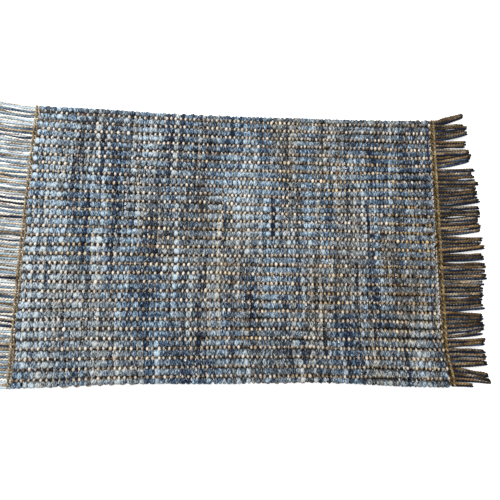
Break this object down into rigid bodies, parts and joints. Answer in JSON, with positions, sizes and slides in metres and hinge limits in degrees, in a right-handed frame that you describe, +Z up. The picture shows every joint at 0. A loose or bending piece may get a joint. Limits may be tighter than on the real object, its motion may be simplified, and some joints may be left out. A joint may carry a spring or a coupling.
{
  "type": "dhurrie",
  "caption": "Flat-woven floor rug of thick blue wefts and thin tan jute wefts in dotted rows, with a twined cord and a long jute fringe at each short end.",
  "frame": {"origin": "on the floor at the centre of the bounding box", "axes": "+X along the warps and the long sides, +Y across the rug, +Z up off the floor"},
  "size_m": [1.1024, 0.6252, 0.01],
  "materials": {
    "woven_cloth": "matte, soft blue cotton and tan jute weave",
    "fringe_jute": "matte, twisted tan jute yarn",
    "cord_jute": "matte, twined brown jute cord"
  },
  "bodies": {
    "root": {"woven_field": "woven_cloth", "fringe_left": "fringe_jute", "fringe_right": "fringe_jute", "end_cord_left": "cord_jute", "end_cord_right": "cord_jute"}
  },
  "joints": []
}
